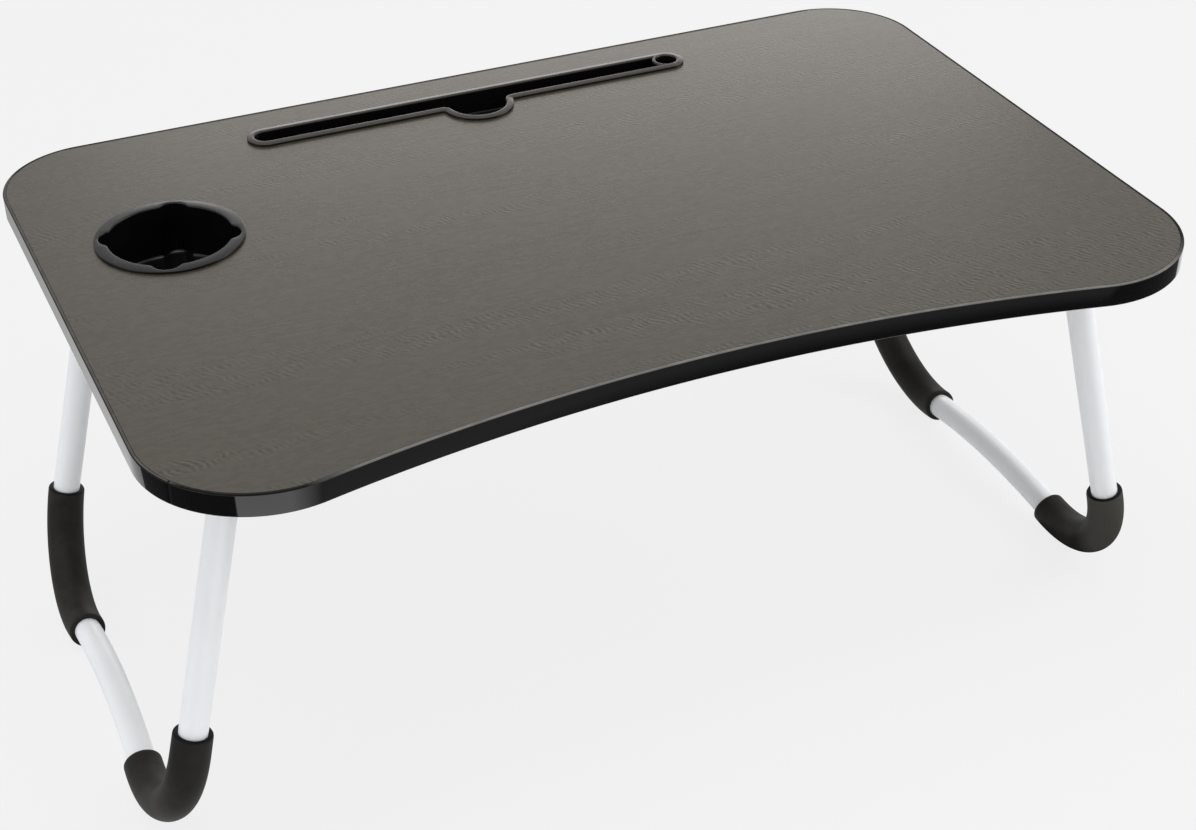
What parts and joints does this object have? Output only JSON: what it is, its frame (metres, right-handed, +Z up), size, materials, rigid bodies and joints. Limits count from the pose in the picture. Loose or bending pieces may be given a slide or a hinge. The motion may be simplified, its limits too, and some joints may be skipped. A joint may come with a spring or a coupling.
{
  "type": "folding laptop table",
  "caption": "Low bed table for a laptop with a curved front edge, a cup holder, a tablet and pen tray and U-shaped legs that fold flat under the top.",
  "frame": {"origin": "on the floor, in the middle of the object's outline seen from above, with both leg frames open", "axes": "+X along the table's length, to the right of a user who sits at the curved front edge; +Y from that user to the back edge with the tablet tray; +Z up"},
  "size_m": [0.629, 0.405, 0.272],
  "materials": {
    "fibreboard": "raw medium density fibreboard",
    "wood_laminate": "satin grey-brown wood-grain laminate",
    "balancing_foil": "matt",
    "gloss_black_band": "polished",
    "gloss_black_insert": "smooth moulded",
    "white_paint": "semi-gloss powder coat",
    "charcoal_rubber": "matt",
    "zinc_sheet": "zinc plated",
    "steel_fixings": "zinc plated",
    "black_plug": "matt moulded"
  },
  "bodies": {
    "table_top": {"board_core": "fibreboard", "top_laminate": "wood_laminate", "underside_foil": "balancing_foil", "edge_band": "gloss_black_band", "cup_holder": "gloss_black_insert", "tablet_tray": "gloss_black_insert", "left_front_bracket": "zinc_sheet", "left_back_bracket": "zinc_sheet", "right_front_bracket": "zinc_sheet", "right_back_bracket": "zinc_sheet", "left_front_rivet": "steel_fixings", "left_back_rivet": "steel_fixings", "right_front_rivet": "steel_fixings", "right_back_rivet": "steel_fixings", "left_front_screws": "steel_fixings", "left_back_screws": "steel_fixings", "right_front_screws": "steel_fixings", "right_back_screws": "steel_fixings"},
    "left_leg": {"left_leg_tube": "white_paint", "left_front_sleeve": "charcoal_rubber", "left_back_sleeve": "charcoal_rubber", "left_front_plug": "black_plug", "left_back_plug": "black_plug"},
    "right_leg": {"right_leg_tube": "white_paint", "right_front_sleeve": "charcoal_rubber", "right_back_sleeve": "charcoal_rubber", "right_front_plug": "black_plug", "right_back_plug": "black_plug"}
  },
  "joints": [
    {"name": "left_leg_fold", "type": "hinge", "parent": "table_top", "child": "left_leg", "pos_m": [-0.25, 0.007, 0.242], "axis": [0, -1, 0], "range_deg": [0, 103]},
    {"name": "right_leg_fold", "type": "hinge", "parent": "table_top", "child": "right_leg", "pos_m": [0.25, 0.007, 0.242], "axis": [0, 1, 0], "range_deg": [0, 103]}
  ]
}
